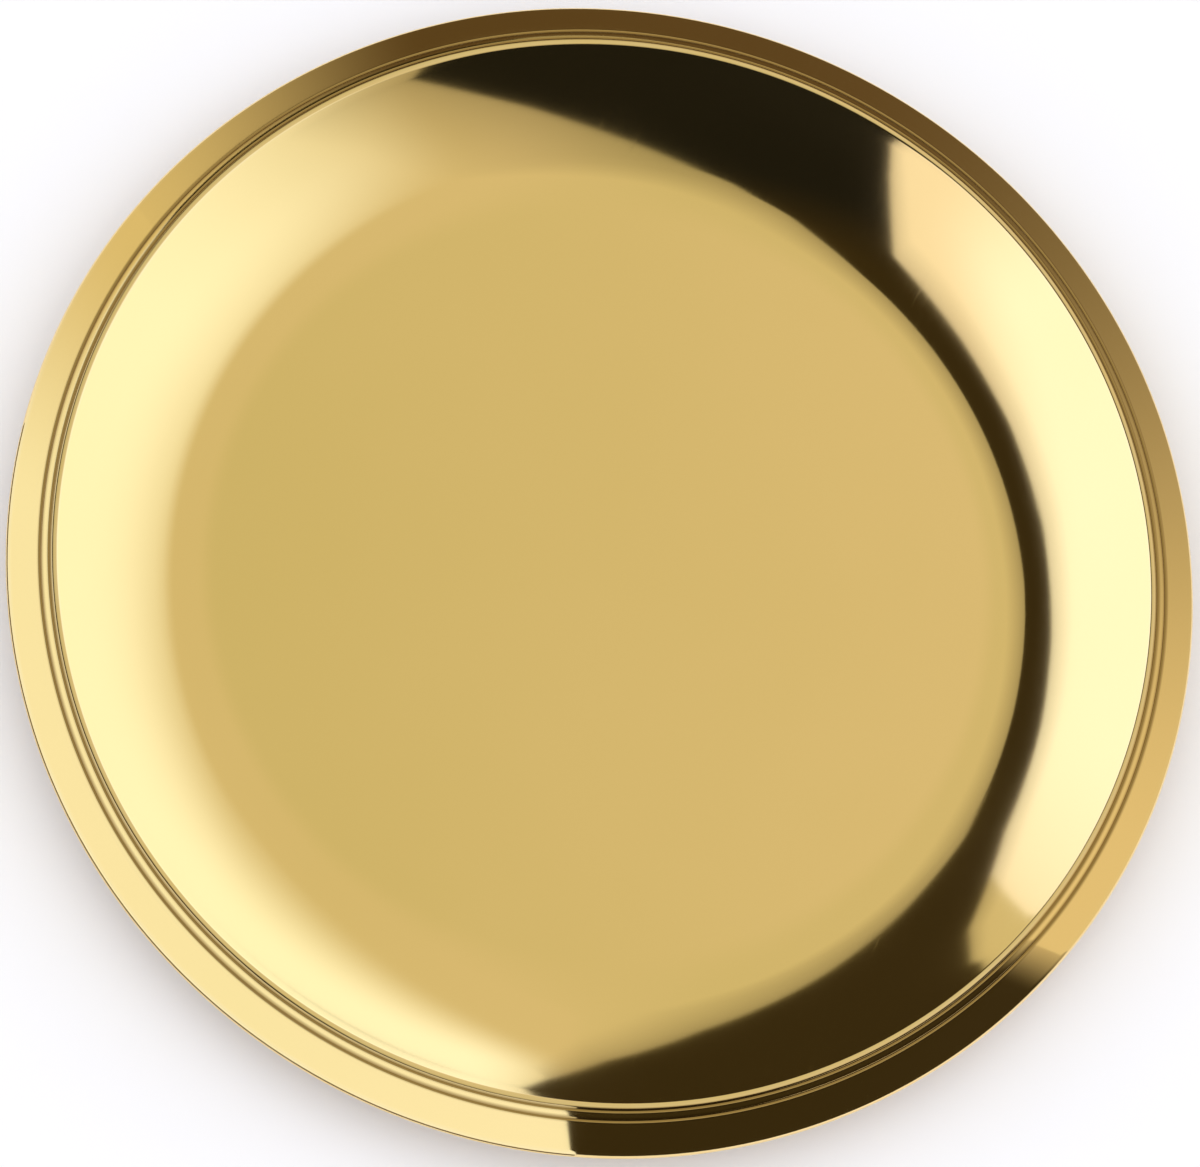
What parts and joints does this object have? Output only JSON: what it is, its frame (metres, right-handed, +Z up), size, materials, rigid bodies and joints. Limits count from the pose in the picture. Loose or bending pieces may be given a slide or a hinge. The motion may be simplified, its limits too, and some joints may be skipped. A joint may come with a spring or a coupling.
{
  "type": "jewelry tray",
  "caption": "Round shallow metal tray with a flat floor, a swept wall, a sloping rim and a rolled edge, polished gold, for rings and small jewelry.",
  "frame": {"origin": "on the table, under the middle of the tray", "axes": "+Z up along the tray's axis of rotation; X and Y lie in the table"},
  "size_m": [0.14, 0.14, 0.0093],
  "materials": {
    "gold_plated_sheet": "polished",
    "bare_steel_wire": "satin"
  },
  "bodies": {
    "root": {"dish": "gold_plated_sheet", "rim_wire": "bare_steel_wire"}
  },
  "joints": []
}
